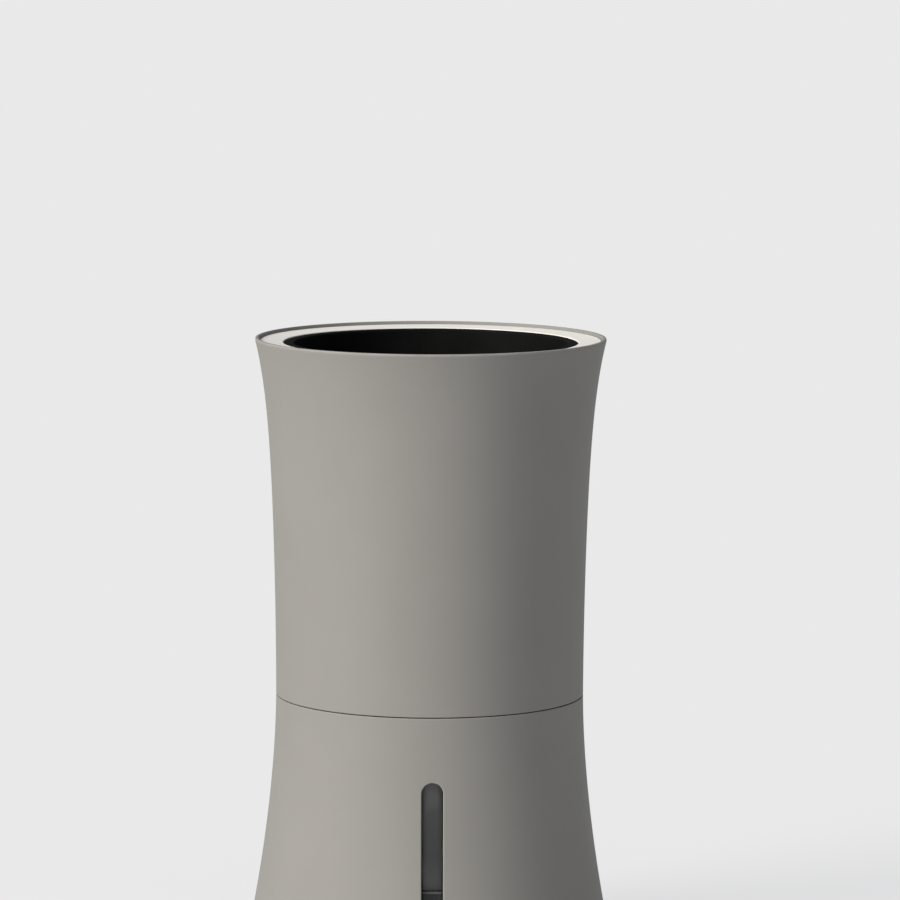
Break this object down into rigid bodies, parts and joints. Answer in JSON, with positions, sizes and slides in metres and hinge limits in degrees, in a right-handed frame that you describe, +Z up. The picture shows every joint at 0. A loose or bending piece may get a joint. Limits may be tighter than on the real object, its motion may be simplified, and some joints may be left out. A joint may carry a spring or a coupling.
{
  "type": "hydroponic planter",
  "caption": "Round waisted self-watering planter: a flared pot with a black inner pot on a flared water tank with a smoked level window, pump and drip ring inside.",
  "frame": {"origin": "centre of the base, on the surface the feet stand on", "axes": "+Z up; the level window faces -Y and the service panel +Y"},
  "size_m": [0.1386, 0.1386, 0.235],
  "materials": {
    "shell_grey": "fine-grained matte warm grey",
    "collar_grey": "smooth pale grey",
    "inner_black": "matte black",
    "moulded_dark": "satin charcoal",
    "white_plastic": "satin white",
    "smoked_clear": "clear, smoked",
    "rubber_black": "matte",
    "silicone": "milky",
    "steel": "bright",
    "board_green": "solder mask",
    "chip_black": "moulded",
    "magnet": "sintered",
    "copper_resin": "windings in resin",
    "pebble": "rough, fired",
    "float_dark": "satin black with a pale line"
  },
  "bodies": {
    "tank": {"tank_shell": "shell_grey", "base_plate": "moulded_dark", "base_gasket": "rubber_black", "base_screw_1": "steel", "base_screw_2": "steel", "base_screw_3": "steel", "base_screw_4": "steel", "foot_1": "rubber_black", "foot_2": "rubber_black", "foot_3": "rubber_black", "foot_4": "rubber_black", "window_lens": "smoked_clear", "window_gasket": "rubber_black", "float_guide": "shell_grey", "seam_gasket": "rubber_black"},
    "pot": {"pot_shell": "shell_grey", "service_panel": "inner_black", "control_deck": "moulded_dark", "deck_cover": "moulded_dark", "drain_tube": "moulded_dark", "pump_hanger": "moulded_dark", "pump_housing": "moulded_dark", "volute_cover": "moulded_dark", "strainer": "moulded_dark", "lead_plug": "white_plastic", "led_pipe": "white_plastic", "led_chip": "white_plastic", "deck_seal": "rubber_black", "cover_gasket": "rubber_black", "tube_grommet": "rubber_black", "lead_gland": "rubber_black", "pump_lead": "rubber_black", "riser_tube": "silicone", "deck_screw_1": "steel", "deck_screw_2": "steel", "deck_screw_3": "steel", "deck_screw_4": "steel", "hanger_screw_1": "steel", "hanger_screw_2": "steel", "board_screw_1": "steel", "board_screw_2": "steel", "pump_shaft": "steel", "power_inlet": "steel", "supply_capacitor": "steel", "control_board": "board_green", "timer_chip": "chip_black", "button_switch": "chip_black", "pump_stator": "copper_resin"},
    "inner_pot": {"inner_pot": "inner_black", "rim_collar": "collar_grey", "drain_screen": "moulded_dark", "growing_medium": "pebble", "drip_ring": "inner_black", "inlet_elbow": "inner_black"},
    "float": {"level_float": "float_dark"},
    "impeller": {"impeller": "white_plastic", "rotor_magnet": "magnet"},
    "button": {"button_cap": "inner_black", "switch_plunger": "white_plastic"}
  },
  "joints": [
    {"name": "pot_lift", "type": "slide", "parent": "tank", "child": "pot", "axis": [0, 0, 1], "range_m": [0, 0.16]},
    {"name": "inner_pot_lift", "type": "slide", "parent": "pot", "child": "inner_pot", "axis": [0, 0, 1], "range_m": [0, 0.13]},
    {"name": "float_rise", "type": "slide", "parent": "tank", "child": "float", "axis": [0, 0.1227, 0.9924], "range_m": [0, 0.045]},
    {"name": "impeller_spin", "type": "hinge", "parent": "pot", "child": "impeller", "pos_m": [0, 0, 0.0256], "axis": [0, 0, 1], "continuous": true},
    {"name": "button_press", "type": "slide", "parent": "pot", "child": "button", "axis": [0, -1, 0], "range_m": [0, 0.0008], "stiffness_N_per_m": 300}
  ]
}
